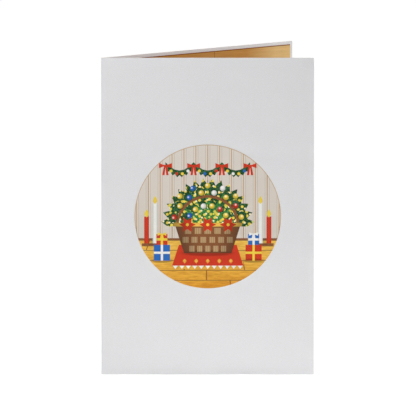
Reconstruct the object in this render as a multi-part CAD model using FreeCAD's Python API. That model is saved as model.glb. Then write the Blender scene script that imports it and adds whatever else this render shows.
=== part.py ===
"""Pop-up greeting card, standing ajar on its bottom edges.

A folded white cover carries a printed liner inside, and three nested paper boxes rise from the
gutter between them: a table, a basket and a gift, with a star on top. Rows of candles and fir
boughs stand beside the boxes. Every sheet stays its own flat size at any opening angle, because
each box is a chain of parallelograms: its walls stay parallel to the plane that halves the
opening, and its top stays parallel to the cover. A round picture is printed on the front.

Millimetres. +Z is up along the fold, the front faces -Y and the fold is at -X. The origin is
the middle of the base.
"""

import FreeCAD
import Part

import math
import os

# Cover, one folded sheet of board
cover_width = 125.0
cover_height = 190.0
cover_thickness = 0.4
opening_angle = 26.0

# Liner, one printed sheet folded into the cover, with a white border left round it
liner_thickness = 0.2
liner_side_border = 1.4
liner_end_border = 1.9

# Paper of the pop-up, and the tabs that it is glued by
sheet_thickness = 0.3
glue_tab = 9.0

# Table: half width along the cover, rise from it, and length along the gutter
table_half_width = 40.0
table_rise = 22.0
table_length = 126.0
lozenge_count = 5
lozenge_height = 9.0
lozenge_width = 6.0

# Basket, on the table
basket_half_width = 26.0
basket_rise = 30.0
basket_length = 74.0

# Gift, on the basket
gift_half_width = 14.0
gift_rise = 20.0
gift_length = 40.0
gift_tab = 5.0

# Webs that hold each box up along its middle crease
web_setback = 6.0
web_tab = 7.0

# Star on the gift
star_radius = 11.0
star_waist = 4.6
star_stem_height = 9.0
star_stem_width = 8.0
star_points = 5

# Fir greens glued to the outside of the basket's walls
greens_overlap = 9.0
greens_depth = 6.0
greens_height = 15.0
greens_short_share = 0.75
greens_width_share = 0.46
greens_count = 8

# How far a fir bough narrows in each tier, of fir shapes on sheets and in the picture
tier_waist_share = 0.45

# Rows of candles, on the table beside the basket
candle_row_distance = 37.0
candle_count = 4
candle_pitch = 24.0
candle_width = 6.0
candle_height = 16.5
candle_rail = 4.0
flame_height = 7.5
flame_width = 4.0
flame_step_count = 5
flame_bulge = 0.75
wick_overlap = 0.8

# Rows of fir boughs, on the liner outside the table
bough_row_distance = 80.0
bough_count = 8
bough_pitch = 18.0
bough_height = 36.0
bough_rail = 9.0
bough_half_width = 8.2
bough_tier_count = 3

# Links, small Z-folded strips that draw each row upright as the card opens, near both its ends
link_places = {"lower": 1, "upper": -2}
link_width = 5.0
link_tab = 5.0
candle_link_height = 8.5
bough_link_height = 12.0

# Round picture printed on the front, as thin fields of ink, with its middle in the cover's middle
picture_radius = 43.1
ink_thickness = 0.06
dot_inks = ("yellow", "red", "yellow", "white", "yellow", "blue")
print_overlap = 0.6
smallest_field = 0.1

# Its wall and table top, as drops from the picture's middle and from the table's far edge
table_edge_drop = 14.5
table_edge_height = 1.5
plank_pitch = 6.0
plank_count = 4
plank_line_width = 0.35
stripe_pitch = 7.0
stripe_width = 0.5

# Its swags, hung from bows
swag_count = 3
swag_span = 16.6
swag_drop = 5.0
swag_height = 30.5
swag_thickness = 4.2
garland_point_count = 6
garland_notch = 1.5
swag_berry_shares = (0.2, 0.4, 0.6, 0.8)
berry_radius = 1.0
berry_corner_count = 6
swag_bow_size = 3.8
bow_knot_share = 0.26
bow_loop_share = 0.4
bow_tail_share = 1.5

# Its basket, filled with fir sprays, baubles and flowers
basket_foot_drop = 7.5
basket_top_half = 19.0
basket_foot_half = 14.0
basket_print_height = 16.0
cane_row_count = 3
cane_column_count = 6
cane_share = 0.66
basket_rim_height = 2.2
basket_rim_lip = 1.2
handle_width = 1.7
handle_step_count = 12
mound_half_width = 27.5
mound_height = 29.0
mound_point_count = 16
mound_notch_share = 0.86
spray_lengths = (18.0, 20.5, 23.5, 25.5, 23.5, 20.5, 18.0)
spray_fan = 78.0
spray_half_width = 3.6
spray_tier_count = 3
bauble_radius = 1.7
bauble_corner_count = 8
bauble_arc_reaches = (12.5, 20.5, 24.5)
bauble_arc_counts = (6, 8, 5)
bauble_arc_spreads = (58.0, 74.0, 42.0)
flower_places = (-12.0, 0.0, 12.0)
flower_radius = 5.0
flower_waist = 2.6
flower_points = 6

# Its candles, gifts and table runner
candle_print_width = 2.8
candle_print_heights = (17.0, 25.0)
candle_print_places = (36.0, 31.0)
candle_foot_drop = 2.5
holder_width = 5.6
holder_height = 1.8
flame_print_height = 5.0
flame_print_width = 2.6
flame_print_step_count = 3
gift_print_size = 9.5
small_gift_size = 6.5
gift_print_place = 27.0
gift_foot_drop = 12.0
gift_inks = (("blue", "white"), ("red", "yellow"))
gift_bow_size = 2.6
ribbon_width = 1.4
runner_half_width = 17.0
runner_gap = 2.5
runner_depth = 12.5
runner_slant = 4.0
runner_mark_count = 5
runner_mark_width = 2.4
runner_mark_height = 2.8
fringe_count = 11
fringe_height = 2.0
fringe_width_share = 0.8

half_angle = math.radians(opening_angle / 2)
full_angle = math.radians(opening_angle)
mid_height = cover_height / 2


def plan(length, angle):
    """A horizontal vector of that length and direction."""
    return FreeCAD.Vector(length * math.cos(angle), length * math.sin(angle), 0)


def centred_fold():
    """The fold's place that puts the origin in the middle of the card's base."""
    board = cover_thickness / 2
    front_face = FreeCAD.Vector(0, -board - ink_thickness, 0)
    back_edge = plan(cover_width, full_angle)
    across_edge = plan(board, full_angle + math.pi / 2)
    corners = [
        front_face,
        FreeCAD.Vector(-board, 0, 0),
        FreeCAD.Vector(cover_width, 0, 0),
        back_edge + across_edge,
        back_edge - across_edge,
    ]
    xs = [corner.x for corner in corners]
    ys = [corner.y for corner in corners]
    return FreeCAD.Vector(-(min(xs) + max(xs)) / 2, -(min(ys) + max(ys)) / 2, 0)


fold = centred_fold()
toward_front = plan(1, 0)
toward_back = plan(1, full_angle)
outward = plan(1, half_angle)
sides = {"front": toward_front, "back": toward_back}


def on_bisector(layer_offset):
    """Where two sheets meet that lie this far inside the middle of the cover's board."""
    return fold + outward * (layer_offset / math.sin(half_angle))


# Apex of each V of sheets that lie on each other, from the liner in
liner_apex = on_bisector((cover_thickness + liner_thickness) / 2)
table_apex = on_bisector(cover_thickness / 2 + liner_thickness + sheet_thickness / 2)
next_sheet = outward * (sheet_thickness / math.sin(half_angle))
table_crest = table_apex + outward * table_rise
basket_apex = table_crest + next_sheet
basket_crest = basket_apex + outward * basket_rise
gift_apex = basket_crest + next_sheet
gift_crest = gift_apex + outward * gift_rise
star_foot = gift_crest + next_sheet


def polygon(points):
    """A face in the XZ plane that faces -Y: x runs along a sheet and z runs up."""
    corners = [FreeCAD.Vector(x, 0, z) for x, z in points]
    turns = zip(corners, corners[1:] + corners[:1])
    if sum(start.x * end.z - end.x * start.z for start, end in turns) < 0:
        corners.reverse()
    return Part.Face(Part.makePolygon(corners + corners[:1]))


def rectangle(x_low, x_high, z_low, z_high):
    return polygon([(x_low, z_low), (x_high, z_low), (x_high, z_high), (x_low, z_high)])


def disc(x, z, radius):
    circle = Part.Circle(FreeCAD.Vector(x, 0, z), FreeCAD.Vector(0, -1, 0), radius)
    return Part.Face(Part.Wire(circle.toShape()))


def star_outline(x, z, radius, waist, points):
    """A star with one point along +x."""
    corners = []
    for k in range(2 * points):
        reach = waist if k % 2 else radius
        turn = math.pi * k / points
        corners.append((x + reach * math.cos(turn), z + reach * math.sin(turn)))
    return polygon(corners)


def joined(shapes):
    """One face or one solid from those that meet."""
    if len(shapes) == 1:
        return shapes[0]
    return shapes[0].multiFuse(shapes[1:]).removeSplitter()


def sheet(face, start, direction, thickness=sheet_thickness):
    """Card cut to that face, stood up with its middle plane through start, along direction."""
    card = face.translated(FreeCAD.Vector(0, -thickness / 2, 0))
    card = card.extrude(FreeCAD.Vector(0, thickness, 0))
    heading = math.degrees(math.atan2(direction.y, direction.x))
    card.rotate(FreeCAD.Vector(), FreeCAD.Vector(0, 0, 1), heading)
    return card.translated(FreeCAD.Vector(start.x, start.y, 0))


def across(direction):
    """That direction turned a quarter turn to the left, seen from above."""
    return FreeCAD.Vector(-direction.y, direction.x, 0)


def fold_corners(place, before, after, reach):
    """One side's corners at a fold: one where the sheet closes up, two where it is pressed flat."""
    turn = before.x * after.y - before.y * after.x
    normals = [across(before), across(after)]
    if turn * reach > 0:
        share = reach / (1 + normals[0].dot(normals[1]))
        return [place + (normals[0] + normals[1]) * share]
    return [place + normal * reach for normal in normals]


def folded_strip(places, z_low, z_high, thickness=sheet_thickness):
    """A strip of card that runs through those places, folded at each one between its ends."""
    runs = [end - start for start, end in zip(places, places[1:])]
    headings = [run.normalize() for run in runs]
    outlines = []
    for reach in (thickness / 2, -thickness / 2):
        outline = [places[0] + across(headings[0]) * reach]
        for place, before, after in zip(places[1:-1], headings, headings[1:]):
            outline += fold_corners(place, before, after, reach)
        outline.append(places[-1] + across(headings[-1]) * reach)
        outlines.append(outline)
    corners = outlines[0] + outlines[1][::-1]
    face = Part.Face(Part.makePolygon(corners + corners[:1]))
    face.translate(FreeCAD.Vector(0, 0, z_low))
    return face.extrude(FreeCAD.Vector(0, 0, z_high - z_low))


def meeting_point(start, direction, other_start, other_direction):
    """Where two horizontal lines cross."""
    gap = other_start - start
    turn = direction.x * other_direction.y - direction.y * other_direction.x
    along = (gap.x * other_direction.y - gap.y * other_direction.x) / turn
    return start + direction * along


def make_cover():
    front_edge, back_edge = [fold + side * cover_width for side in sides.values()]
    board = folded_strip([front_edge, fold, back_edge], 0, cover_height, cover_thickness)
    round_spine = Part.makeCylinder(cover_thickness / 2, cover_height, fold)
    return joined([board, round_spine])


def make_liner():
    apex_reach = (liner_apex - fold).Length * math.cos(half_angle)
    reach = cover_width - liner_side_border - apex_reach
    ends = [liner_apex + side * reach for side in sides.values()]
    z_low = liner_end_border
    z_high = cover_height - liner_end_border
    return folded_strip([ends[0], liner_apex, ends[1]], z_low, z_high, liner_thickness)


def make_box(apex, half_width, rise, length, tab=glue_tab):
    """A box that folds flat: tab, wall, two halves of the top, wall and tab, all one strip."""
    crest = apex + outward * rise
    places = []
    for side in sides.values():
        foot = apex + side * half_width
        places.append([foot - side * tab, foot, foot + outward * rise])
    strip = places[0] + [crest] + places[1][::-1]
    return folded_strip(strip, mid_height - length / 2, mid_height + length / 2)


def make_table_box():
    """The table's box, with diamonds cut out along both walls."""
    box = make_box(table_apex, table_half_width, table_rise, table_length)
    for side in sides.values():
        for face in lozenges():
            box = box.cut(sheet(face, table_apex + side * table_half_width, outward, 2 * sheet_thickness))
    return box


def make_web(apex, rise, length):
    """A strip under a box's middle crease, glued to the back below it and to the front above."""
    z_low = mid_height - length / 2 + web_setback
    z_high = mid_height + length / 2 - web_setback
    top = apex + outward * rise - next_sheet
    places = [apex + toward_back * web_tab, apex, top, top + toward_front * web_tab]
    return folded_strip(places, z_low, z_high)


def lozenges():
    """Diamond cut-outs along the table's walls."""
    pitch = table_length / lozenge_count
    middle = table_rise / 2
    cuts = []
    for k in range(lozenge_count):
        z = mid_height + (k - (lozenge_count - 1) / 2) * pitch
        cuts.append(
            polygon(
                [
                    (middle - lozenge_height / 2, z),
                    (middle, z - lozenge_width / 2),
                    (middle + lozenge_height / 2, z),
                    (middle, z + lozenge_width / 2),
                ]
            )
        )
    return cuts


def fir(root, z, height, half_width, tiers):
    """A fir bough that points along the sheet, in stepped tiers."""
    step = height / tiers
    near, far = [], []
    for k in range(tiers):
        spread = half_width * (1 - k / tiers)
        x = root + k * step
        waist = spread * tier_waist_share
        near += [(x, z - spread), (x + step, z - waist)]
        far += [(x, z + spread), (x + step, z + waist)]
    tip = (root + height, z)
    return polygon(near[:-1] + [tip] + far[:-1][::-1])


def standing_row(face, foot, tab, rail, z_low, z_high):
    """A shape that stands on its rail, folded from the tab that glues it down."""
    strip = folded_strip([foot + tab, foot, foot + outward * rail], z_low, z_high)
    return joined([strip, sheet(face, foot, outward)])


def bough_heights():
    return [mid_height + (k - (bough_count - 1) / 2) * bough_pitch for k in range(bough_count)]


def make_bough_row(side):
    z_low = mid_height - bough_count * bough_pitch / 2
    z_high = mid_height + bough_count * bough_pitch / 2
    rise = bough_height - bough_rail
    boughs = [fir(bough_rail, z, rise, bough_half_width, bough_tier_count) for z in bough_heights()]
    face = joined([rectangle(0, bough_rail, z_low, z_high)] + boughs)
    foot = table_apex + side * bough_row_distance
    return standing_row(face, foot, side * -glue_tab, bough_rail, z_low, z_high)


def candle_heights():
    return [mid_height + (k - (candle_count - 1) / 2) * candle_pitch for k in range(candle_count)]


def flame(root, z, height, width, steps=flame_step_count):
    """A drop with a pointed tip, widest below its middle."""
    near, far = [], []
    for k in range(1, steps):
        share = k / steps
        spread = width / 2 * math.sin(math.pi * share ** flame_bulge)
        near.append((root + height * share, z - spread))
        far.append((root + height * share, z + spread))
    return polygon([(root, z)] + near + [(root + height, z)] + far[::-1])


def make_candle_row(side):
    z_low = candle_heights()[0] - candle_width
    z_high = candle_heights()[-1] + candle_width
    shapes = [rectangle(0, candle_rail, z_low, z_high)]
    for z in candle_heights():
        shapes.append(rectangle(0, candle_height, z - candle_width / 2, z + candle_width / 2))
        shapes.append(flame(candle_height - wick_overlap, z, flame_height, flame_width))
    foot = basket_apex + side * candle_row_distance
    return standing_row(joined(shapes), foot, side * -glue_tab, candle_rail, z_low, z_high)


def make_greens(side):
    """Fir sprigs that spill over the basket's rim, glued flat to the outside of its wall."""
    pitch = basket_length / greens_count
    z_low = mid_height - basket_length / 2
    z_high = mid_height + basket_length / 2
    root = basket_rise - greens_overlap
    top = root + greens_depth
    shapes = [rectangle(root, top, z_low, z_high)]
    for k in range(greens_count):
        z = z_low + (k + 0.5) * pitch
        reach = greens_height * (greens_short_share if k % 2 else 1)
        shapes.append(fir(top, z, reach, greens_width_share * pitch, 2))
        shapes.append(polygon([(root - pitch / 2, z), (root, z - pitch / 2), (root, z + pitch / 2)]))
    foot = basket_apex + side * (basket_half_width + sheet_thickness / math.sin(half_angle))
    start = meeting_point(foot, outward, basket_apex + side * basket_half_width, across(outward))
    return sheet(joined(shapes), start, outward)


def make_link(inner_foot, outer_foot, side, height, z):
    """A strip from the outside of one wall to the inside of the next row, folded like a Z."""
    lateral = across(outward) * sheet_thickness
    if side is toward_front:
        lateral = lateral * -1
    start = inner_foot + lateral + outward * height
    end = meeting_point(start, side, outer_foot - lateral, outward)
    places = [start - outward * link_tab, start, end, end + outward * link_tab]
    return folded_strip(places, z - link_width / 2, z + link_width / 2)


def make_star():
    z_low = mid_height - star_stem_width / 2
    z_high = mid_height + star_stem_width / 2
    centre = star_stem_height + star_waist
    star = star_outline(centre, mid_height, star_radius, star_waist, star_points)
    face = joined([rectangle(0, centre, z_low, z_high), star])
    return standing_row(face, star_foot, toward_back * web_tab, star_stem_height, z_low, z_high)


def at(x, z):
    """A place on the picture, measured from its middle."""
    return x, mid_height + z


def block(x_low, x_high, z_low, z_high):
    return rectangle(x_low, x_high, mid_height + z_low, mid_height + z_high)


def sag_at(share, drop):
    """How far a swag hangs down at that share of its span."""
    return 4 * share * (1 - share) * drop


def garland(x_low, x_high):
    """A fir garland between two hooks, smooth above and pointed below."""
    above, below = [], []
    half = swag_thickness / 2
    for k in range(2 * garland_point_count + 1):
        share = k / (2 * garland_point_count)
        x = x_low + share * (x_high - x_low)
        z = swag_height - sag_at(share, swag_drop)
        if k % 2:
            below.append(at(x, z - half))
        else:
            above.append(at(x, z + half))
            below.append(at(x, z - half + garland_notch))
    return polygon(above + below[::-1])


def swag_hooks():
    """The hooks' places across the picture."""
    return [(k - swag_count / 2) * swag_span for k in range(swag_count + 1)]


def swag_berries():
    """Places for berries along the middle of each swag."""
    places = []
    for x in swag_hooks()[:-1]:
        for share in swag_berry_shares:
            places.append((x + share * swag_span, swag_height - sag_at(share, swag_drop)))
    return places


def bauble_places():
    """Places for baubles in arcs over the basket's greens."""
    places = []
    for reach, count, spread in zip(bauble_arc_reaches, bauble_arc_counts, bauble_arc_spreads):
        for k in range(count):
            lean = math.radians(spread - 2 * spread * k / (count - 1))
            places.append((reach * math.sin(lean), basket_rim() + reach * math.cos(lean)))
    return places


def dots(places, radius, corners):
    """Printed spots, each with that many corners."""
    turns = [2 * math.pi * (k + 0.5) / corners for k in range(corners)]
    spots = []
    for x, z in places:
        spots.append(polygon([at(x + radius * math.cos(a), z + radius * math.sin(a)) for a in turns]))
    return spots


def dots_in_turn(places, radius, corners):
    """Spots in one ink after another."""
    return [(ink, dots(places[k::len(dot_inks)], radius, corners)) for k, ink in enumerate(dot_inks)]


def upright(face, x, z, lean=0.0):
    """A shape drawn along a sheet, stood up on that place of the picture and leaning left."""
    face.rotate(FreeCAD.Vector(), FreeCAD.Vector(0, -1, 0), 90 + lean)
    return face.translated(FreeCAD.Vector(x, 0, mid_height + z))


def table_edge():
    return -table_edge_drop


def basket_rim():
    return table_edge() - basket_foot_drop + basket_print_height


def wall_and_table():
    radius = picture_radius
    edge = table_edge()
    stripes = []
    count = int(radius / stripe_pitch)
    for k in range(-count, count + 1):
        x = k * stripe_pitch
        stripes.append(block(x - stripe_width / 2, x + stripe_width / 2, edge, radius))
    lines = []
    for k in range(1, plank_count + 1):
        z = edge - k * plank_pitch
        lines.append(block(-radius, radius, z, z + plank_line_width))
    return [
        ("cream", [disc(0, mid_height, radius)]),
        ("tan", stripes),
        ("gold", [block(-radius, radius, -radius, edge)]),
        ("brown", lines),
        ("brown", [block(-radius, radius, edge, edge + table_edge_height)]),
    ]


def runner_marks(foot):
    """Diamonds in a row along the runner's front end."""
    pitch = 2 * runner_half_width / runner_mark_count
    z = foot + runner_mark_height
    marks = []
    for k in range(runner_mark_count):
        x = (k - (runner_mark_count - 1) / 2) * pitch
        left, right = x - runner_mark_width / 2, x + runner_mark_width / 2
        low, high = z - runner_mark_height / 2, z + runner_mark_height / 2
        marks.append(polygon([at(left, z), at(x, low), at(right, z), at(x, high)]))
    return marks


def runner():
    """A cloth over the table's edge, wider towards the front, with a fringe of points."""
    top = table_edge() - runner_gap
    foot = top - runner_depth
    foot_half = runner_half_width + runner_slant
    corners = [
        at(-runner_half_width, top),
        at(-foot_half, foot),
        at(foot_half, foot),
        at(runner_half_width, top),
    ]
    pitch = 2 * foot_half / fringe_count
    half = fringe_width_share * pitch / 2
    points = []
    for k in range(fringe_count):
        x = -foot_half + (k + 0.5) * pitch
        points.append(polygon([at(x - half, foot), at(x, foot - fringe_height), at(x + half, foot)]))
    return [("red", [polygon(corners)]), ("gold", runner_marks(foot)), ("white", points)]


def candles():
    foot = table_edge() - candle_foot_drop
    half = candle_print_width / 2
    holder_low = foot - holder_height / 2
    sticks = {"red": [], "white": []}
    flames = []
    holders = []
    for side in (-1, 1):
        for ink, place, height in zip(sticks, candle_print_places, candle_print_heights):
            x = side * place
            sticks[ink].append(block(x - half, x + half, foot, foot + height))
            drop = flame(0, 0, flame_print_height, flame_print_width, flame_print_step_count)
            flames.append(upright(drop, x, foot + height - print_overlap))
            holder = (x - holder_width / 2, x + holder_width / 2, holder_low, holder_low + holder_height)
            holders.append(block(*holder))
    return list(sticks.items()) + [("yellow", flames), ("brown", holders)]


def bow(x, z, size):
    """A knot with two loops and two tails of that size, in one outline."""
    knot = size * bow_knot_share
    loop = size * bow_loop_share
    tail = size * bow_tail_share
    right = [
        (knot, knot / 2),
        (size, loop),
        (size, -loop),
        (knot, -knot / 2),
        (size / 2, -tail),
        (knot / 2, -tail),
    ]
    left = [(-across_it, up) for across_it, up in right[::-1]]
    corners = right + [(0, -knot)] + left
    return polygon([at(x + across_it, z + up) for across_it, up in corners])


def swags():
    hooks = swag_hooks()
    greens = [garland(x_low, x_high) for x_low, x_high in zip(hooks, hooks[1:])]
    layers = [("green", greens)] + dots_in_turn(swag_berries(), berry_radius, berry_corner_count)
    return layers + [("red", [bow(x, swag_height, swag_bow_size) for x in hooks])]


def handle():
    """The basket's hoop, from end to end of its rim."""
    edges = []
    for radius in (basket_top_half, basket_top_half - handle_width):
        turns = [math.pi * k / handle_step_count for k in range(handle_step_count + 1)]
        edges.append([at(radius * math.cos(a), basket_rim() + radius * math.sin(a)) for a in turns])
    return polygon(edges[0] + edges[1][::-1])


def mound():
    """The mass of the basket's greens, a half oval with a pointed edge."""
    corners = []
    steps = 2 * mound_point_count
    for k in range(steps + 1):
        turn = math.pi * k / steps
        share = 1.0 if k % 2 else mound_notch_share
        x = share * mound_half_width * math.cos(turn)
        corners.append(at(x, basket_rim() + share * mound_height * math.sin(turn)))
    return polygon(corners)


def sprays():
    """Lighter fir sprays in a fan, over the mass of the greens."""
    gaps = len(spray_lengths) - 1
    fan = []
    for k, length in enumerate(spray_lengths):
        shape = fir(0, 0, length, spray_half_width, spray_tier_count)
        fan.append(upright(shape, 0, basket_rim(), spray_fan - 2 * spray_fan * k / gaps))
    return [("green", [mound()]), ("leaf", fan)]


def basket_cane():
    """Short canes, staggered from row to row, inside the basket's sloping sides."""
    foot = basket_rim() - basket_print_height
    row_height = basket_print_height / cane_row_count
    canes = []
    for row in range(cane_row_count):
        widening = (basket_top_half - basket_foot_half) * row / cane_row_count
        pitch = (basket_foot_half + widening) / cane_column_count
        half = cane_share * pitch
        z_low = foot + (row + (1 - cane_share) / 2) * row_height
        z_high = z_low + cane_share * row_height
        for column in range(1 - cane_column_count, cane_column_count):
            if (row + column) % 2 == 0:
                x = column * pitch
                canes.append(block(x - half, x + half, z_low, z_high))
    return canes


def flowers():
    """Pointed red flowers with yellow hearts, along the basket's rim."""
    z = basket_rim() + basket_rim_height / 2
    petals = [star_outline(*at(x, z), flower_radius, flower_waist, flower_points) for x in flower_places]
    hearts = dots([(x, z) for x in flower_places], berry_radius, berry_corner_count)
    return [("red", petals), ("yellow", hearts)]


def basket():
    rim = basket_rim()
    foot = rim - basket_print_height
    corners = [
        at(-basket_foot_half, foot),
        at(basket_foot_half, foot),
        at(basket_top_half, rim),
        at(-basket_top_half, rim),
    ]
    lip = basket_top_half + basket_rim_lip
    layers = sprays() + [("brown", [handle()])]
    layers += dots_in_turn(bauble_places(), bauble_radius, bauble_corner_count)
    layers += [("brown", [polygon(corners)]), ("tan", basket_cane())]
    return layers + [("gold", [block(-lip, lip, rim, rim + basket_rim_height)])] + flowers()


def wrapped(x, foot, size, inks):
    """A wrapped box with a ribbon each way."""
    middle = foot + size / 2
    half = ribbon_width / 2
    bands = [
        block(x - half, x + half, foot, foot + size),
        block(x - size / 2, x + size / 2, middle - half, middle + half),
    ]
    return [(inks[0], [block(x - size / 2, x + size / 2, foot, foot + size)]), (inks[1], bands)]


def gifts():
    """On each side a large gift with a small one on it, tied with a bow."""
    layers = []
    foot = table_edge() - gift_foot_drop
    top = foot + gift_print_size
    for side, inks in ((-1, gift_inks), (1, gift_inks[::-1])):
        x = side * gift_print_place
        layers += wrapped(x, foot, gift_print_size, inks[0])
        layers += wrapped(x, top, small_gift_size, inks[1])
        layers.append((inks[1][1], [bow(x, top + small_gift_size, gift_bow_size)]))
    return layers


def printed_layers():
    """The picture's shapes as (ink, faces), each over those before it."""
    return wall_and_table() + runner() + candles() + swags() + basket() + gifts()


def printed_fields():
    """What shows of each ink, as one field or a few that lie side by side."""
    outline = disc(0, mid_height, picture_radius)
    layers = [(ink, joined(faces).common(outline)) for ink, faces in printed_layers()]
    fields = {}
    for k, (ink, shape) in enumerate(layers):
        above = [later for later_ink, later in layers[k + 1:]]
        fields.setdefault(ink, []).append(shape.cut(above) if above else shape)
    return {ink: joined(shapes) for ink, shapes in fields.items()}


def make_print(field):
    """Films of ink on the front of the cover, over the middle of its width."""
    faces = [face for face in field.Faces if face.Area > smallest_field]
    films = [face.extrude(FreeCAD.Vector(0, -ink_thickness, 0)) for face in faces]
    middle = fold + toward_front * (cover_width / 2) - FreeCAD.Vector(0, cover_thickness / 2, 0)
    return Part.makeCompound(films).translated(middle)


def side_nodes(name, side):
    """The greens, the rows and their links on one side of the boxes."""
    basket_foot = basket_apex + side * basket_half_width
    candle_foot = basket_apex + side * candle_row_distance
    table_foot = table_apex + side * table_half_width
    bough_foot = table_apex + side * bough_row_distance
    found = {
        "basket_greens_" + name: make_greens(side),
        "candle_row_" + name: make_candle_row(side),
        "bough_row_" + name: make_bough_row(side),
    }
    for end, k in link_places.items():
        candle_z = candle_heights()[k]
        bough_z = bough_heights()[k]
        candle_link = make_link(basket_foot, candle_foot, side, candle_link_height, candle_z)
        bough_link = make_link(table_foot, bough_foot, side, bough_link_height, bough_z)
        found["candle_link_" + name + "_" + end] = candle_link
        found["bough_link_" + name + "_" + end] = bough_link
    return found


nodes = {
    "cover": make_cover(),
    "liner": make_liner(),
    "table_box": make_table_box(),
    "table_web": make_web(table_apex, table_rise, table_length),
    "basket_box": make_box(basket_apex, basket_half_width, basket_rise, basket_length),
    "basket_web": make_web(basket_apex, basket_rise, basket_length),
    "gift_box": make_box(gift_apex, gift_half_width, gift_rise, gift_length, tab=gift_tab),
    "gift_web": make_web(gift_apex, gift_rise, gift_length),
    "star": make_star(),
}
for name, side in sides.items():
    nodes.update(side_nodes(name, side))
for ink, field in printed_fields().items():
    nodes["print_" + ink] = make_print(field)

os.makedirs("parts", exist_ok=True)
for name, solid in nodes.items():
    solid.exportStep(os.path.join("parts", name + ".step"))
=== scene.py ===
"""Looks of the pop-up card: printed paper, pearl card, studio floor, lamps and camera."""

import math

import bpy
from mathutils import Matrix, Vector


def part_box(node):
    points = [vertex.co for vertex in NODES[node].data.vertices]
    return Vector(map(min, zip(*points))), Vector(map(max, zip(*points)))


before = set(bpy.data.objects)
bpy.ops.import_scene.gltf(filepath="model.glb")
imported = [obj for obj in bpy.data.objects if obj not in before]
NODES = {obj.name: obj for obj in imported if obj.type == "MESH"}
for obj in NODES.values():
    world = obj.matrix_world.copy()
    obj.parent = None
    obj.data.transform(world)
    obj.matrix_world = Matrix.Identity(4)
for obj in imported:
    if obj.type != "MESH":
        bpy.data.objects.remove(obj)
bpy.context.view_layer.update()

MM = 0.001


# Places of the card, from the frame and from the part's own sizes

cover_low, cover_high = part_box("cover")
COVER_THICKNESS = 0.4 * MM
OPENING = math.radians(26.0)
MID_HEIGHT = (cover_low[2] + cover_high[2]) / 2
FOLD = Vector((cover_low[0] + COVER_THICKNESS / 2, cover_low[1] + COVER_THICKNESS / 2, 0))
OUTWARD = Vector((math.cos(OPENING / 2), math.sin(OPENING / 2), 0))
liner_low, liner_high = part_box("liner")
picture_low, picture_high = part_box("print_cream")
PICTURE_RADIUS = (picture_high[0] - picture_low[0]) / 2
PICTURE_X = (picture_low[0] + picture_high[0]) / 2
PICTURE_Z = picture_high[2] - PICTURE_RADIUS
STAR_RADIUS = 11.0 * MM
STAR_POINTS = 5


# Places in the picture, from its middle, as in the part's own source

STRIPE_PITCH = 7.0 * MM
PLANK_PITCH = 6.0 * MM
TABLE_EDGE = -14.5 * MM
BASKET_RIM = -6.0 * MM
BASKET_RIM_TOP = -3.8 * MM
BASKET_FOOT = -22.0 * MM
BASKET_RIM_LIP = 1.2 * MM
BASKET_TOP_HALF = 19.0 * MM
BASKET_FOOT_HALF = 14.0 * MM
MOUND_TOP = 23.0 * MM
BAUBLE_ARCS = ((12.5 * MM, 6, 58.0), (20.5 * MM, 8, 74.0), (24.5 * MM, 5, 42.0))
BAUBLE_RADIUS = 1.7 * MM
CANDLE_PLACES = (31.0 * MM, 36.0 * MM)
CANDLE_HALF = 1.4 * MM
CANDLE_FOOT = -17.0 * MM
GIFT_PLACE = 27.0 * MM
GIFT_FOOT = -26.5 * MM
GIFT_HALF = 4.75 * MM
RUNNER_FOOT_HALF = 21.0 * MM
FRINGE_FOOT = -31.5 * MM


# Small helpers for node trees


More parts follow.
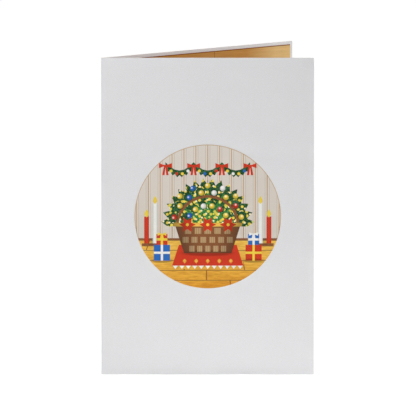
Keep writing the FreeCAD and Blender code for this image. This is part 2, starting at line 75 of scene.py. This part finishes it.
class Shader:
    """A material under construction: short names for the nodes that it needs."""

    def __init__(self, name):
        self.material = bpy.data.materials.new(name)
        self.material.use_nodes = True
        self.tree = self.material.node_tree
        self.surface = self.tree.nodes["Principled BSDF"]
        self.place = self.add("ShaderNodeTexCoord").outputs["Object"]

    def add(self, kind, **settings):
        node = self.tree.nodes.new(kind)
        for key, value in settings.items():
            setattr(node, key, value)
        return node

    def link(self, value, socket):
        """Sets a socket to a number or colour, or joins it to another node's output."""
        if isinstance(value, bpy.types.NodeSocket):
            self.tree.links.new(value, socket)
        elif hasattr(socket.default_value, "__len__") and len(socket.default_value) == 4:
            socket.default_value = (*value[:3], 1.0)
        else:
            socket.default_value = value

    def math(self, operation, first, second=0.0, third=0.0, clamp=False):
        node = self.add("ShaderNodeMath", operation=operation, use_clamp=clamp)
        for socket, value in zip(node.inputs, (first, second, third)):
            self.link(value, socket)
        return node.outputs[0]

    def vector(self, operation, first, second=(0, 0, 0)):
        node = self.add("ShaderNodeVectorMath", operation=operation)
        self.link(first, node.inputs[0])
        self.link(second, node.inputs[1])
        return node.outputs["Value" if operation in ("DOT_PRODUCT", "LENGTH") else "Vector"]

    def mix(self, share, first, second, blend="MIX"):
        node = self.add("ShaderNodeMix", data_type="RGBA", blend_type=blend)
        self.link(share, node.inputs["Factor"])
        self.link(first, node.inputs[6])
        self.link(second, node.inputs[7])
        return node.outputs[2]

    def noise(self, scale, detail=2.0, place=None, roughness=0.5):
        node = self.add("ShaderNodeTexNoise")
        self.link(place if place is not None else self.place, node.inputs["Vector"])
        node.inputs["Scale"].default_value = scale
        node.inputs["Detail"].default_value = detail
        node.inputs["Roughness"].default_value = roughness
        return node.outputs["Fac"]

    def ramp(self, value, low, high, first=0.0, second=1.0):
        node = self.add("ShaderNodeMapRange")
        self.link(value, node.inputs["Value"])
        for key, number in (("From Min", low), ("From Max", high), ("To Min", first), ("To Max", second)):
            node.inputs[key].default_value = number
        return node.outputs["Result"]

    def near(self, value, centre, half):
        """1 within half of centre, else 0."""
        return self.math("COMPARE", value, centre, half)

    def between(self, value, low, high):
        """1 from low to high, else 0."""
        return self.near(value, (low + high) / 2, (high - low) / 2)

    def from_centre(self, x, z, place, reach):
        """Distance from a place in shares of its reach each way, so that 1 is on an ellipse."""
        across_it = self.math("DIVIDE", self.math("SUBTRACT", x, place[0]), reach[0])
        up_it = self.math("DIVIDE", self.math("SUBTRACT", z, place[1]), reach[1])
        return self.vector("LENGTH", self.joined(across_it, up_it, 0.0))

    def joined(self, x, y, z):
        node = self.add("ShaderNodeCombineXYZ")
        for socket, value in zip(node.inputs, (x, y, z)):
            self.link(value, socket)
        return node.outputs[0]

    def split(self, vector):
        node = self.add("ShaderNodeSeparateXYZ")
        self.link(vector, node.inputs[0])
        return node.outputs

    def bump(self, height, strength, distance):
        node = self.add("ShaderNodeBump")
        node.inputs["Strength"].default_value = strength
        node.inputs["Distance"].default_value = distance
        self.link(height, node.inputs["Height"])
        self.tree.links.new(node.outputs[0], self.surface.inputs["Normal"])

    def finish(self, colour, roughness, specular=0.5, coat=0.0, coat_roughness=0.3):
        self.link(colour, self.surface.inputs["Base Color"])
        self.link(roughness, self.surface.inputs["Roughness"])
        self.surface.inputs["Specular IOR Level"].default_value = specular
        self.surface.inputs["Coat Weight"].default_value = coat
        self.surface.inputs["Coat Roughness"].default_value = coat_roughness
        return self.material

    def height(self):
        """Height over the card's middle, in metres."""
        return self.math("SUBTRACT", self.split(self.place)[2], MID_HEIGHT)

    def from_fold(self):
        """Distance from the fold, level with the table."""
        level = self.vector("MULTIPLY", self.vector("SUBTRACT", self.place, tuple(FOLD)), (1, 1, 0))
        return self.vector("LENGTH", level)

    def across_picture(self):
        """Distance to the right of the picture's middle."""
        return self.math("SUBTRACT", self.split(self.place)[0], PICTURE_X)

    def up_picture(self):
        """Distance above the picture's middle."""
        return self.math("SUBTRACT", self.split(self.place)[2], PICTURE_Z)

    def outward(self):
        """Distance from the fold along the plane that halves the opening."""
        return self.vector("DOT_PRODUCT", self.vector("SUBTRACT", self.place, tuple(FOLD)), tuple(OUTWARD))


def srgb(red, green, blue):
    """A linear colour from screen values of 0 to 255."""
    channels = []
    for value in (red, green, blue):
        share = value / 255
        channels.append(share / 12.92 if share <= 0.04045 else ((share + 0.055) / 1.055) ** 2.4)
    return tuple(channels)


def varied(shader, colour, amount=0.12, scale=900.0):
    """Slightly uneven colour, as ink on paper has."""
    dark = tuple(channel * (1 - amount) for channel in colour)
    light = tuple(min(1.0, channel * (1 + amount)) for channel in colour)
    return shader.mix(shader.noise(scale, 3.0), dark, light)


def paper_grain(shader, strength=0.12, distance=0.03 * MM):
    """Fine bumps of two sizes."""
    grain = shader.math("ADD", shader.noise(2600.0, 3.0), shader.noise(420.0, 2.0))
    shader.bump(grain, strength, distance)


# Materials of the cover and liner


def pearl_card():
    """White pearl card: a satin face with faint fibre clouds, and a plainer cut edge."""
    shader = Shader("pearl_card")
    clouds = shader.noise(55.0, 4.0)
    flecks = shader.noise(3200.0, 2.0)
    face = shader.mix(clouds, srgb(233, 233, 235), srgb(238, 238, 240))
    face = shader.mix(shader.ramp(flecks, 0.45, 0.7), face, srgb(245, 244, 245))
    normal = shader.add("ShaderNodeNewGeometry").outputs["True Normal"]
    upright = shader.math("ABSOLUTE", shader.split(normal)[2])
    cut = shader.math("GREATER_THAN", upright, 0.7)
    colour = shader.mix(cut, face, srgb(205, 193, 184))
    paper_grain(shader, 0.10)
    return shader.finish(colour, shader.ramp(flecks, 0.3, 0.7, 0.42, 0.55), 0.45, 0.08, 0.35)


def plank_print():
    """Golden planks printed across the liner, with fine grain and dark joints, and painted shade that makes
    the boards darker towards the fold.
    """
    shader = Shader("plank_print")
    board_length, board_width = 56.0 * MM, 9.2 * MM
    joint_width, joint_shift = 0.12 * MM, 17.8 * MM
    # Span from the fold over which the painted shade near the fold fades out
    shade_fade_from, shade_fade_to = 95.0 * MM, 114.0 * MM
    edge_width = 0.5 * MM
    along = shader.from_fold()
    height = shader.height()
    liner_reach = (liner_high[2] - liner_low[2]) / 2
    board = shader.add("ShaderNodeTexBrick", offset=0.37, offset_frequency=2, squash=1.0)
    board.inputs["Scale"].default_value = 1.0
    board.inputs["Mortar Size"].default_value = joint_width
    board.inputs["Mortar Smooth"].default_value = 0.2
    board.inputs["Bias"].default_value = -0.1
    board.inputs["Brick Width"].default_value = board_length
    board.inputs["Row Height"].default_value = board_width
    below_top = shader.math("SUBTRACT", height, liner_reach)
    place = shader.joined(shader.math("SUBTRACT", along, joint_shift), below_top, 0.0)
    shader.link(place, board.inputs["Vector"])
    # Painted shade: the boards are deeper in colour near the fold, where shade falls between the covers,
    # and paler towards the liner's free edge
    out_of_fold_shade = shader.ramp(along, shade_fade_from, shade_fade_to)
    shader.link(shader.mix(out_of_fold_shade, srgb(209, 149, 78), srgb(249, 212, 149)), board.inputs["Color1"])
    shader.link(shader.mix(out_of_fold_shade, srgb(193, 133, 66), srgb(237, 195, 130)), board.inputs["Color2"])
    shader.link(srgb(140, 90, 44), board.inputs["Mortar"])
    stretched = shader.vector("MULTIPLY", shader.joined(along, height, 0.0), (0.12, 1.6, 0.0))
    grain = shader.noise(520.0, 5.0, stretched, 0.65)
    veins = shader.ramp(grain, 0.38, 0.66)
    grained = shader.mix(veins, srgb(186, 132, 60), srgb(220, 178, 108))
    colour = shader.mix(0.3, board.outputs["Color"], grained)
    colour = shader.mix(board.outputs["Fac"], colour, srgb(132, 80, 34))
    edge = shader.math("GREATER_THAN", shader.math("ABSOLUTE", height), liner_reach - edge_width)
    colour = shader.mix(edge, colour, srgb(132, 76, 28))
    paper_grain(shader)
    return shader.finish(colour, 0.6, 0.15)


def plain_paper(name, colour):
    """Unprinted paper of one colour."""
    shader = Shader(name)
    paper_grain(shader)
    return shader.finish(varied(shader, colour, 0.03, 700.0), 0.62, 0.35)


def spots_over(shader, ground, place, pitch, size, first, second):
    """Small round spots in two colours, scattered over a print."""
    cells = shader.add("ShaderNodeTexVoronoi", feature="F1", voronoi_dimensions="2D")
    cells.inputs["Scale"].default_value = 1 / pitch
    cells.inputs["Randomness"].default_value = 0.8
    shader.link(shader.joined(*place, 0.0), cells.inputs["Vector"])
    inside = shader.math("LESS_THAN", cells.outputs["Distance"], size / pitch)
    pick = shader.split(cells.outputs["Color"])[0]
    spot = shader.mix(shader.math("GREATER_THAN", pick, 0.6), first, second)
    return shader.mix(inside, ground, spot)


# Materials of the pop-up's printed sheets


def table_red():
    """Red cloth print with a pale stripe and a gold line near its upper and lower edges."""
    shader = Shader("table_red")
    height = shader.height()
    weave = shader.noise(1800.0, 2.0)
    colour = shader.mix(weave, srgb(178, 38, 32), srgb(206, 58, 44))
    from_middle = shader.math("ABSOLUTE", height)
    stripes = ((58.5 * MM, 1.2 * MM, srgb(240, 228, 205)), (55.5 * MM, 0.4 * MM, srgb(236, 190, 90)))
    for place, half, ink in stripes:
        colour = shader.mix(shader.near(from_middle, place, half), colour, ink)
    paper_grain(shader)
    return shader.finish(colour, 0.55, 0.4)


def wicker_print():
    """Brown basket weave: short canes staggered over dark gaps."""
    shader = Shader("wicker_print")
    cane_length, cane_width, gap = 4.6 * MM, 2.6 * MM, 0.35 * MM
    weave = shader.add("ShaderNodeTexBrick", offset=0.5, offset_frequency=2, squash=1.0)
    weave.inputs["Scale"].default_value = 1.0
    weave.inputs["Mortar Size"].default_value = gap
    weave.inputs["Mortar Smooth"].default_value = 0.5
    weave.inputs["Brick Width"].default_value = cane_length
    weave.inputs["Row Height"].default_value = cane_width
    shader.link(shader.joined(shader.height(), shader.outward(), 0.0), weave.inputs["Vector"])
    shader.link(srgb(188, 132, 78), weave.inputs["Color1"])
    shader.link(srgb(164, 108, 60), weave.inputs["Color2"])
    shader.link(srgb(92, 54, 28), weave.inputs["Mortar"])
    paper_grain(shader)
    return shader.finish(weave.outputs["Color"], 0.55, 0.4)


def gift_print():
    """Blue wrapping with pale dots, and a red ribbon with white edges round its middle."""
    shader = Shader("gift_print")
    dot_pitch, dot_share = 5.0 * MM, 0.2
    ribbon_half, ribbon_red_half = 3.2 * MM, 2.2 * MM
    height = shader.height()
    cells = shader.add("ShaderNodeTexVoronoi", feature="F1")
    cells.inputs["Scale"].default_value = 1 / dot_pitch
    cells.inputs["Randomness"].default_value = 0.0
    shader.link(shader.joined(height, shader.outward(), 0.0), cells.inputs["Vector"])
    dots = shader.math("LESS_THAN", cells.outputs["Distance"], dot_share)
    colour = shader.mix(dots, srgb(38, 104, 176), srgb(214, 226, 240))
    colour = shader.mix(shader.near(height, 0.0, ribbon_half), colour, srgb(240, 238, 232))
    colour = shader.mix(shader.near(height, 0.0, ribbon_red_half), colour, srgb(200, 44, 36))
    paper_grain(shader)
    return shader.finish(colour, 0.45, 0.45)


def fir_print(name, dark, light, scale):
    """Fir needles: short strokes of light green over dark, with red and gold berries."""
    shader = Shader(name)
    needles = shader.add("ShaderNodeTexWave", wave_type="BANDS", bands_direction="DIAGONAL")
    needles.inputs["Scale"].default_value = scale
    needles.inputs["Distortion"].default_value = 6.0
    needles.inputs["Detail"].default_value = 3.0
    needles.inputs["Detail Scale"].default_value = 2.5
    shader.link(shader.place, needles.inputs["Vector"])
    strokes = shader.ramp(needles.outputs["Fac"], 0.35, 0.8)
    colour = shader.mix(strokes, dark, light)
    clumps = shader.ramp(shader.noise(300.0, 3.0), 0.4, 0.65)
    colour = shader.mix(clumps, colour, tuple(channel * 0.7 for channel in dark))
    place = (shader.height(), shader.outward())
    berry_pitch, berry_radius = 8.0 * MM, 1.2 * MM
    red, gold = srgb(206, 44, 36), srgb(236, 190, 70)
    colour = spots_over(shader, colour, place, berry_pitch, berry_radius, red, gold)
    paper_grain(shader)
    return shader.finish(colour, 0.55, 0.4)


def candle_print():
    """Red and white striped candles over a gold holder, with yellow flames."""
    shader = Shader("candle_print")
    stripe_pitch, stripe_slope, white_share = 5.0 * MM, 0.6, 0.45
    flame_height, glow_height, lit_height = 7.4 * MM, 7.0 * MM, 19.2 * MM
    out = shader.outward()
    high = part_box("candle_row_front")[1]
    tip = (Vector((high[0], high[1], 0)) - FOLD).dot(OUTWARD)
    slant = shader.math("ADD", out, shader.math("MULTIPLY", shader.height(), stripe_slope))
    share = shader.math("FRACT", shader.math("DIVIDE", slant, stripe_pitch))
    stripe = shader.math("GREATER_THAN", share, white_share)
    colour = shader.mix(stripe, srgb(246, 242, 234), srgb(206, 44, 36))
    flame = shader.math("GREATER_THAN", out, tip - flame_height)
    glow = shader.mix(shader.ramp(out, tip - glow_height, tip), srgb(240, 140, 40), srgb(252, 226, 96))
    colour = shader.mix(flame, colour, glow)
    holder = shader.math("LESS_THAN", out, tip - lit_height)
    colour = shader.mix(holder, colour, srgb(206, 160, 72))
    paper_grain(shader)
    return shader.finish(colour, 0.5, 0.4)


def star_gold():
    """Gold print, with each of the star's points in a light and a dark half."""
    shader = Shader("star_gold")
    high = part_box("star")[1]
    middle = (Vector((high[0], high[1], 0)) - FOLD).dot(OUTWARD) - STAR_RADIUS
    turn = shader.math("ARCTAN2", shader.height(), shader.math("SUBTRACT", shader.outward(), middle))
    points_round = shader.math("DIVIDE", turn, 2 * math.pi / STAR_POINTS)
    share = shader.math("FRACT", shader.math("ADD", points_round, 10.0))
    facet = shader.math("GREATER_THAN", share, 0.5)
    light = shader.mix(shader.noise(500.0, 3.0), srgb(238, 192, 84), srgb(250, 216, 112))
    colour = shader.mix(facet, light, srgb(212, 152, 44))
    paper_grain(shader)
    return shader.finish(colour, 0.35, 0.6, 0.2, 0.25)


# Materials of the inks in the picture


def from_bauble(shader):
    """Distance from the lit spot of the nearest bauble over the picture's basket."""
    lit_spot = 0.5 * MM
    x = shader.across_picture()
    z = shader.math("SUBTRACT", shader.up_picture(), BASKET_RIM)
    reach = shader.vector("LENGTH", shader.joined(x, z, 0.0))
    lean = shader.math("ARCTAN2", x, z)
    nearest = 1.0
    for arc_reach, count, spread in BAUBLE_ARCS:
        step = math.radians(2 * spread / (count - 1))
        turn = shader.math("DIVIDE", shader.math("ADD", lean, math.radians(spread)), step)
        place = shader.math("MINIMUM", shader.math("MAXIMUM", shader.math("ROUND", turn), 0.0), count - 1)
        sideways = shader.math("MULTIPLY", shader.math("SUBTRACT", turn, place), step * arc_reach)
        spot = shader.joined(sideways, shader.math("SUBTRACT", reach, arc_reach), 0.0)
        distance = shader.vector("LENGTH", shader.vector("ADD", spot, (lit_spot, -lit_spot, 0.0)))
        nearest = shader.math("MINIMUM", nearest, distance)
    return nearest


def rounded(shader, colour):
    """Ink with the light and shade that round the picture's baubles, candles and basket."""
    lit_from, lit_to = 0.3 * MM, 0.75 * MM
    shade_from, shade_to = 0.8 * MM, 2.4 * MM
    bauble_depth, candle_depth, basket_depth = 0.5, 0.3, 0.5
    side = shader.math("ABSOLUTE", shader.across_picture())
    z = shader.up_picture()
    spot = from_bauble(shader)
    on_bauble = shader.math("LESS_THAN", spot, 1.6 * BAUBLE_RADIUS)
    bauble_edge = shader.ramp(spot, shade_from, shade_to, 0.0, bauble_depth)
    bauble_shade = shader.math("MULTIPLY", bauble_edge, on_bauble)
    from_candle = 1.0
    for place in CANDLE_PLACES:
        distance = shader.math("ABSOLUTE", shader.math("SUBTRACT", side, place))
        from_candle = shader.math("MINIMUM", from_candle, distance)
    near_candle = shader.between(side, CANDLE_PLACES[0] - CANDLE_HALF, CANDLE_PLACES[1] + CANDLE_HALF)
    on_candle = shader.math("MULTIPLY", near_candle, shader.math("GREATER_THAN", z, CANDLE_FOOT))
    candle_edge = shader.ramp(from_candle, 0.4 * CANDLE_HALF, CANDLE_HALF, 0.0, candle_depth)
    candle_shade = shader.math("MULTIPLY", candle_edge, on_candle)
    lip = shader.math("MULTIPLY", shader.math("GREATER_THAN", z, BASKET_RIM), BASKET_RIM_LIP)
    basket_half = shader.ramp(z, BASKET_FOOT, BASKET_RIM, BASKET_FOOT_HALF, BASKET_TOP_HALF)
    share = shader.math("DIVIDE", side, shader.math("ADD", basket_half, lip))
    near_basket = shader.math("LESS_THAN", share, 1.0)
    on_basket = shader.math("MULTIPLY", near_basket, shader.between(z, BASKET_FOOT, BASKET_RIM_TOP))
    basket_edge = shader.ramp(share, 0.35, 1.0, 0.0, basket_depth)
    basket_shade = shader.math("MULTIPLY", basket_edge, on_basket)
    shade = shader.math("MAXIMUM", shader.math("MAXIMUM", bauble_shade, candle_shade), basket_shade)
    shaded = shader.mix(shade, colour, (0.0, 0.0, 0.0))
    lit = shader.ramp(spot, lit_from, lit_to, 0.7, 0.0)
    return shader.mix(lit, shaded, (1.0, 1.0, 1.0))


def shadowed(shader, colour):
    """Ink with the soft shadows that the picture's gifts and basket stand on."""
    gift_reach = (1.4 * GIFT_HALF, 1.3 * MM)
    basket_reach = (1.1 * BASKET_FOOT_HALF, 1.9 * MM)
    x, z = shader.across_picture(), shader.up_picture()
    side = shader.math("ABSOLUTE", x)
    gift = shader.from_centre(side, z, (GIFT_PLACE, GIFT_FOOT), gift_reach)
    basket = shader.from_centre(x, z, (0.0, BASKET_FOOT), basket_reach)
    shadow = shader.ramp(shader.math("MINIMUM", gift, basket), 0.7, 1.15, 0.45, 0.0)
    return shader.mix(shadow, colour, srgb(60, 24, 8))


def finish_ink(shader, colour):
    """The faint grain and the low gloss that all the inks share."""
    paper_grain(shader, 0.08)
    return shader.finish(colour, 0.5, 0.2)


def plain_ink(name, colour):
    """One even colour, rounded by light and shade."""
    shader = Shader("ink_" + name)
    ink = varied(shader, srgb(*colour), 0.08, 1400.0)
    return finish_ink(shader, rounded(shader, ink))


def wall_ink(name, colour):
    """Pale wall with a fine pair of lines beside each stripe, and a thin line round the picture."""
    shader = Shader("ink_" + name)
    line_place, line_half, rim_width = 1.3 * MM, 0.16 * MM, 0.4 * MM
    x, z = shader.across_picture(), shader.up_picture()
    share = shader.math("FRACT", shader.math("ADD", shader.math("DIVIDE", x, STRIPE_PITCH), 100.5))
    from_middle = shader.math("ABSOLUTE", shader.math("SUBTRACT", share, 0.5))
    from_stripe = shader.math("MULTIPLY", from_middle, STRIPE_PITCH)
    line = shader.near(from_stripe, line_place, line_half)
    upper = shader.ramp(z, -20 * MM, PICTURE_RADIUS)
    wall = shader.mix(upper, varied(shader, srgb(*colour), 0.05), srgb(232, 224, 214))
    wall = shader.mix(shader.math("MULTIPLY", line, 0.6), wall, srgb(196, 176, 150))
    reach = shader.vector("LENGTH", shader.joined(x, 0.0, z))
    rim = shader.math("GREATER_THAN", reach, PICTURE_RADIUS - rim_width)
    wall = shader.mix(rim, wall, srgb(206, 176, 132))
    return finish_ink(shader, wall)


def plank_ink(name, colour):
    """Golden boards, deeper towards the front, with stretched grain and staggered joints."""
    shader = Shader("ink_" + name)
    board_length, board_spread, board_stagger, joint_half = 26.0 * MM, -0.3, 0.37, 0.009
    x, z = shader.across_picture(), shader.up_picture()
    drop = shader.math("SUBTRACT", z, TABLE_EDGE)
    board = shader.math("FLOOR", shader.math("DIVIDE", drop, PLANK_PITCH))
    spread_length = shader.math("ADD", board_length, shader.math("MULTIPLY", z, board_spread))
    slanted = shader.math("DIVIDE", x, spread_length)
    place = shader.math("FRACT", shader.math("ADD", slanted, shader.math("MULTIPLY", board, board_stagger)))
    beside = shader.math("GREATER_THAN", shader.math("ABSOLUTE", x), RUNNER_FOOT_HALF)
    bare = shader.math("MAXIMUM", beside, shader.math("LESS_THAN", z, FRINGE_FOOT))
    joint = shader.math("MULTIPLY", shader.near(place, 0.5, joint_half), bare)
    stretched = shader.joined(shader.math("MULTIPLY", x, 0.15), z, shader.math("MULTIPLY", board, 3 * MM))
    grain = shader.ramp(shader.noise(1300.0, 4.0, stretched, 0.6), 0.35, 0.65)
    near_wall = shader.mix(grain, srgb(232, 178, 68), srgb(*colour))
    front = shader.mix(grain, srgb(213, 138, 32), srgb(240, 172, 50))
    wood = shader.mix(shader.ramp(z, TABLE_EDGE, -PICTURE_RADIUS), near_wall, front)
    wood = rounded(shader, shadowed(shader, shader.mix(joint, wood, srgb(158, 98, 44))))
    return finish_ink(shader, wood)


def needle_ink(name, colour):
    """Small strokes of fir needles, darker and lighter than the ink's own colour, with lights."""
    shader = Shader("ink_" + name)
    dark = tuple(channel * 0.45 for channel in srgb(*colour))
    light = srgb(*[min(255, channel + 46) for channel in colour])
    strokes = shader.noise(1100.0, 3.0, None, 0.7)
    needles = shader.mix(shader.ramp(strokes, 0.36, 0.5), dark, srgb(*colour))
    needles = shader.mix(shader.ramp(strokes, 0.54, 0.66), needles, light)
    x, z = shader.across_picture(), shader.up_picture()
    lemon, straw = srgb(246, 226, 84), srgb(232, 212, 80)
    cream, lime = srgb(250, 240, 200), srgb(222, 230, 98)
    large_pitch, large_radius = 2.8 * MM, 0.85 * MM
    small_pitch, small_radius = 3.2 * MM, 0.6 * MM
    lit = spots_over(shader, needles, (x, z), large_pitch, large_radius, lemon, straw)
    moved = (shader.math("ADD", x, 1.3 * MM), shader.math("ADD", z, 1.9 * MM))
    lit = spots_over(shader, lit, moved, small_pitch, small_radius, cream, lime)
    clear = shader.math("GREATER_THAN", from_bauble(shader), 1.6 * BAUBLE_RADIUS)
    on_mound = shader.math("MULTIPLY", clear, shader.math("LESS_THAN", z, MOUND_TOP))
    return finish_ink(shader, shader.mix(on_mound, needles, lit))


def cane_ink(name, colour):
    """Upright strands with dark gaps between them, rounded by shade."""
    shader = Shader("ink_" + name)
    strand_pitch = 1.1 * MM
    strands_across = shader.math("DIVIDE", shader.across_picture(), strand_pitch)
    share = shader.math("FRACT", shader.math("ADD", strands_across, 100.0))
    roundness = shader.math("SINE", shader.math("MULTIPLY", share, math.pi))
    flat = shader.math("GREATER_THAN", shader.up_picture(), BASKET_RIM)
    shade = shader.math("MAXIMUM", roundness, flat)
    strand = shader.mix(shade, tuple(channel * 0.55 for channel in srgb(*colour)), srgb(*colour))
    return finish_ink(shader, rounded(shader, strand))


def woven_ink(name, colour):
    """A fine slanted weave of two tones."""
    shader = Shader("ink_" + name)
    weave = shader.add("ShaderNodeTexWave", wave_type="BANDS", bands_direction="DIAGONAL")
    weave.inputs["Scale"].default_value = 420.0
    weave.inputs["Distortion"].default_value = 3.0
    shader.link(shader.place, weave.inputs["Vector"])
    ground = srgb(*colour)
    shade = tuple(channel * 0.78 for channel in ground)
    cloth = shader.mix(shader.math("MULTIPLY", weave.outputs["Fac"], 0.8), ground, shade)
    return finish_ink(shader, rounded(shader, shadowed(shader, cloth)))


# How each ink of the picture is made, and its colour
INKS = {
    "cream": (wall_ink, (222, 212, 200)),
    "tan": (cane_ink, (206, 168, 118)),
    "gold": (plank_ink, (252, 212, 94)),
    "brown": (woven_ink, (150, 94, 56)),
    "red": (woven_ink, (224, 60, 30)),
    "green": (needle_ink, (30, 84, 42)),
    "leaf": (needle_ink, (52, 134, 62)),
    "white": (plain_ink, (248, 246, 240)),
    "yellow": (plain_ink, (248, 218, 72)),
    "blue": (plain_ink, (40, 108, 192)),
}


def dress(node, material):
    """Gives every slot of a node one material."""
    slots = NODES[node].material_slots
    for slot in slots:
        slot.material = material
    if not slots:
        NODES[node].data.materials.append(material)


def dress_all():
    card = pearl_card()
    white = plain_paper("white_paper", srgb(238, 236, 232))
    bough = fir_print("bough_green", srgb(20, 74, 38), srgb(58, 132, 66), 260.0)
    greens = fir_print("fir_green", srgb(24, 84, 42), srgb(74, 148, 72), 320.0)
    table = table_red()
    wicker = wicker_print()
    present = gift_print()
    candle = candle_print()
    for node in NODES:
        if "link" in node or "web" in node:
            dress(node, white)
        elif "greens" in node:
            dress(node, greens)
        elif node.startswith("bough"):
            dress(node, bough)
        elif node.startswith("candle"):
            dress(node, candle)
        elif node.startswith("table"):
            dress(node, table)
        elif node.startswith("basket"):
            dress(node, wicker)
        elif node.startswith("gift"):
            dress(node, present)
    dress("cover", card)
    dress("liner", plank_print())
    dress("star", star_gold())
    for name, (make, colour) in INKS.items():
        dress("print_" + name, make(name, colour))


dress_all()


# Floor, world, lamps and camera

FLOOR_REACH = 6.0
FLOOR_WHITE = 0.86
FLOOR_GLOW = 1.22
FLOOR_GLOW_SHARE = 0.72
SURROUND = 0.466


def stage_floor():
    """A white floor that keeps a faint shadow and looks white to the camera."""
    mesh = bpy.data.meshes.new("floor")
    corners = [(x * FLOOR_REACH, y * FLOOR_REACH, 0) for x, y in ((-1, -1), (1, -1), (1, 1), (-1, 1))]
    mesh.from_pydata(corners, [], [(0, 1, 2, 3)])
    floor = bpy.data.objects.new("floor", mesh)
    bpy.context.scene.collection.objects.link(floor)
    material = bpy.data.materials.new("floor_white")
    material.use_nodes = True
    tree = material.node_tree
    tree.nodes.clear()
    output = tree.nodes.new("ShaderNodeOutputMaterial")
    diffuse = tree.nodes.new("ShaderNodeBsdfDiffuse")
    diffuse.inputs["Color"].default_value = (FLOOR_WHITE, FLOOR_WHITE, FLOOR_WHITE, 1)
    glow = tree.nodes.new("ShaderNodeEmission")
    glow.inputs["Color"].default_value = (1, 1, 1, 1)
    glow.inputs["Strength"].default_value = FLOOR_GLOW
    path = tree.nodes.new("ShaderNodeLightPath")
    share = tree.nodes.new("ShaderNodeMath")
    share.operation = "MULTIPLY"
    share.inputs[1].default_value = FLOOR_GLOW_SHARE
    tree.links.new(path.outputs["Is Camera Ray"], share.inputs[0])
    mixed = tree.nodes.new("ShaderNodeMixShader")
    tree.links.new(share.outputs[0], mixed.inputs["Fac"])
    tree.links.new(diffuse.outputs[0], mixed.inputs[1])
    tree.links.new(glow.outputs[0], mixed.inputs[2])
    tree.links.new(mixed.outputs[0], output.inputs["Surface"])
    mesh.materials.append(material)


def stage_world():
    """A soft pale surround for light, and plain white where the camera sees it."""
    world = bpy.data.worlds.new("studio")
    world.use_nodes = True
    bpy.context.scene.world = world
    tree = world.node_tree
    tree.nodes.clear()
    output = tree.nodes.new("ShaderNodeOutputWorld")
    soft = tree.nodes.new("ShaderNodeBackground")
    soft.inputs["Color"].default_value = (1.0, 1.0, 1.0, 1)
    soft.inputs["Strength"].default_value = SURROUND
    white = tree.nodes.new("ShaderNodeBackground")
    white.inputs["Color"].default_value = (1, 1, 1, 1)
    white.inputs["Strength"].default_value = 1.0
    path = tree.nodes.new("ShaderNodeLightPath")
    mixed = tree.nodes.new("ShaderNodeMixShader")
    tree.links.new(path.outputs["Is Camera Ray"], mixed.inputs["Fac"])
    tree.links.new(soft.outputs[0], mixed.inputs[1])
    tree.links.new(white.outputs[0], mixed.inputs[2])
    tree.links.new(mixed.outputs[0], output.inputs["Surface"])


def area_lamp(name, place, target, size, power, spread=180.0):
    """A square lamp at a place, turned to a target, with its spread in degrees."""
    lamp = bpy.data.lights.new(name, "AREA")
    lamp.size = size
    lamp.spread = math.radians(spread)
    lamp.energy = power
    holder = bpy.data.objects.new(name, lamp)
    holder.location = place
    holder.rotation_euler = (Vector(target) - Vector(place)).to_track_quat("-Z", "Y").to_euler()
    bpy.context.scene.collection.objects.link(holder)


def stage_lamps():
    """A main lamp, one that lights the floor before the cover, and one at the cover's upper left."""
    middle = (0.0, 0.0, MID_HEIGHT)
    area_lamp("over", (0.9, -0.05, 1.0), middle, size=0.6, power=7.7)
    area_lamp("bounce", (-0.02, -0.19, 0.9), (-0.02, -0.17, 0.0), size=0.45, power=0.4, spread=30.0)
    area_lamp("left", (-0.17, -0.11, 0.3), (-0.06, -0.03, 0.18), size=0.08, power=0.11)


PHOTO_SIZE = 416
SCALE_AT_FRONT = 1.6986 / MM
CAMERA_DISTANCE = 9.0
CAMERA_RISE = math.radians(11.15)
CAMERA_TARGET = Vector((0.25 * MM, cover_low[1], 100.1 * MM))


def stage_camera():
    """A long lens square on to the front cover and a little above it."""
    camera = bpy.data.cameras.new("camera")
    camera.sensor_width = 36.0
    camera.lens = camera.sensor_width * CAMERA_DISTANCE * SCALE_AT_FRONT / PHOTO_SIZE
    camera.clip_end = 60.0
    holder = bpy.data.objects.new("camera", camera)
    back = Vector((0, -math.cos(CAMERA_RISE), math.sin(CAMERA_RISE)))
    holder.location = CAMERA_TARGET + back * CAMERA_DISTANCE
    holder.rotation_euler = (math.pi / 2 - CAMERA_RISE, 0, 0)
    bpy.context.scene.collection.objects.link(holder)
    bpy.context.scene.camera = holder


stage_floor()
stage_world()
stage_lamps()
stage_camera()
bpy.context.scene.view_settings.view_transform = "Standard"
